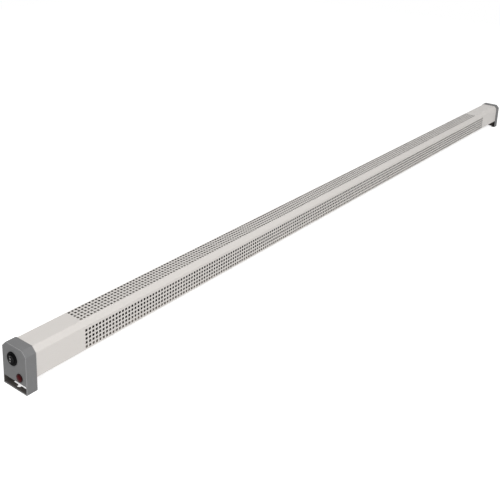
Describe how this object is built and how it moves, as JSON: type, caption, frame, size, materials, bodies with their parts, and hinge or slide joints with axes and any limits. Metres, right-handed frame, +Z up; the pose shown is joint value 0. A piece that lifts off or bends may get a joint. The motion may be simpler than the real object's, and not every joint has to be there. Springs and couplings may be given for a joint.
{
  "type": "plinth heater",
  "caption": "Long low electric plinth heater: a chamfered tube of perforated sheet steel on two moulded end caps, with a round rocker switch and an indicator lamp on one end.",
  "frame": {"origin": "on the floor, under the middle of the whole heater", "axes": "+X along the heater away from the switch end, -Y out of the perforated front, +Z up"},
  "size_m": [2.0038, 0.058, 0.076],
  "materials": {
    "cap_plastic": "fine matt moulded grain, mid grey",
    "enamel": "satin cream-white powder coat",
    "aluminium": "bright rolled sheet",
    "zinc_steel": "zinc plated",
    "sheath_steel": "heat-darkened stainless sheath",
    "ceramic": "off-white steatite",
    "black_plastic": "satin black",
    "brass": "plain",
    "grommet_rubber": "matt black",
    "red_lens": "translucent dark red"
  },
  "bodies": {
    "heater": {"control_end_cap": "cap_plastic", "plain_end_cap": "cap_plastic", "front_grille": "enamel", "top_grille": "enamel", "back_tray": "enamel", "reflector": "aluminium", "control_bulkhead": "zinc_steel", "far_bulkhead": "zinc_steel", "heating_element": "sheath_steel", "element_supports": "zinc_steel", "element_bushes": "ceramic", "element_terminals": "zinc_steel", "thermal_cutout": "black_plastic", "terminal_block": "ceramic", "terminal_screws": "brass", "earth_stud": "brass", "earth_nut": "brass", "cable_grommet": "grommet_rubber", "switch_body": "black_plastic", "switch_retainer": "zinc_steel", "switch_terminals": "brass", "lamp_collar": "black_plastic", "lamp_lens": "red_lens", "lamp_retainer": "zinc_steel", "lamp_terminals": "brass", "control_cap_screws": "zinc_steel", "plain_cap_screws": "zinc_steel", "cover_screws": "zinc_steel", "back_rivets": "zinc_steel"},
    "rocker": {"switch_rocker": "black_plastic"}
  },
  "joints": [
    {"name": "rocker_hinge", "type": "hinge", "parent": "heater", "child": "rocker", "pos_m": [-0.9981, 0.0035, 0.053], "axis": [0, 1, 0], "range_deg": [-12, 12]}
  ]
}
